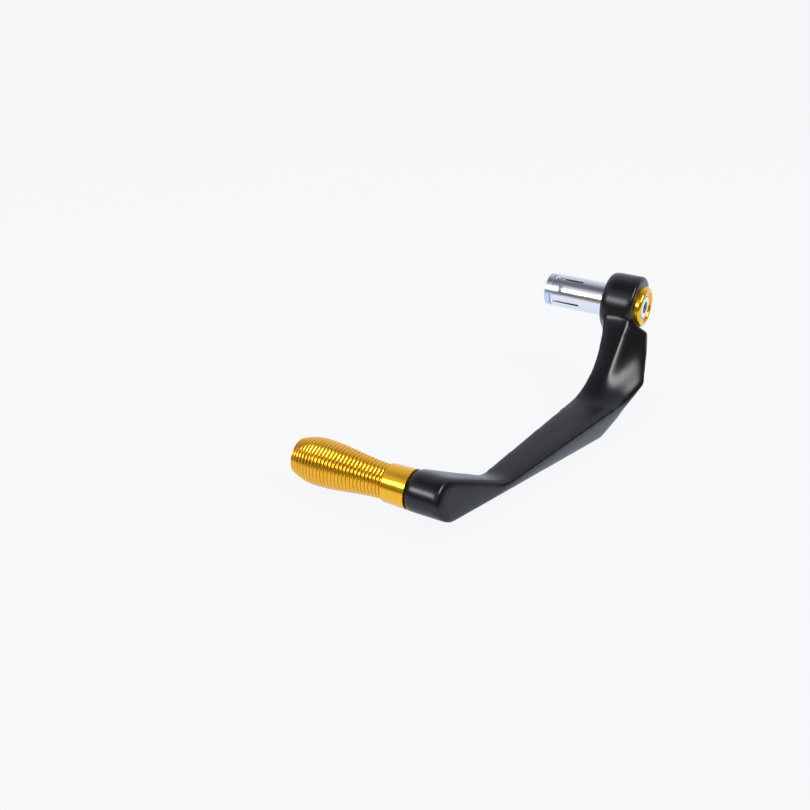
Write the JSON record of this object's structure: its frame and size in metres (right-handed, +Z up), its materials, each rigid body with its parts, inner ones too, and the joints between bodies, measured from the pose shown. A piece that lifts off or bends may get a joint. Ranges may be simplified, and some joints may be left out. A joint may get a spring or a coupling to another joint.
{
  "type": "brake lever guard",
  "caption": "Right-hand bar-end lever guard: an expanding bar plug carries a black boomerang-shaped channel arm with a ribbed gold grip in front of the lever.",
  "frame": {"origin": "on the bar plug's axis, at the inboard face of the arm's eye", "axes": "+X outboard along the bar plug, -Y forward towards the grip, +Z up, with the underside of the long leg about level"},
  "size_m": [0.097, 0.1714, 0.0569],
  "materials": {
    "black_satin": "satin black coat on a casting",
    "gold_anodised": "bright gold anodised, turned",
    "zinc_plate": "bright zinc plated",
    "blue_zinc": "bright blue-passivated zinc"
  },
  "bodies": {
    "guard": {"arm": "black_satin", "grip": "gold_anodised", "grip_screw": "zinc_plate", "end_cap": "gold_anodised", "expander_sleeve": "zinc_plate"},
    "bolt": {"clamp_bolt": "zinc_plate"},
    "nut": {"wedge_nut": "blue_zinc"}
  },
  "joints": [
    {"name": "bolt_turn", "type": "hinge", "parent": "guard", "child": "bolt", "pos_m": [0, 0, 0], "axis": [1, 0, 0], "range_deg": [-225, 1090]},
    {"name": "nut_slide", "type": "slide", "parent": "guard", "child": "nut", "axis": [1, 0, 0], "range_m": [-0.003, 0.0006]}
  ],
  "couplings": [
    {"joint": "bolt_turn", "follows": "nut_slide", "rad_per_m": -6283.2}
  ]
}
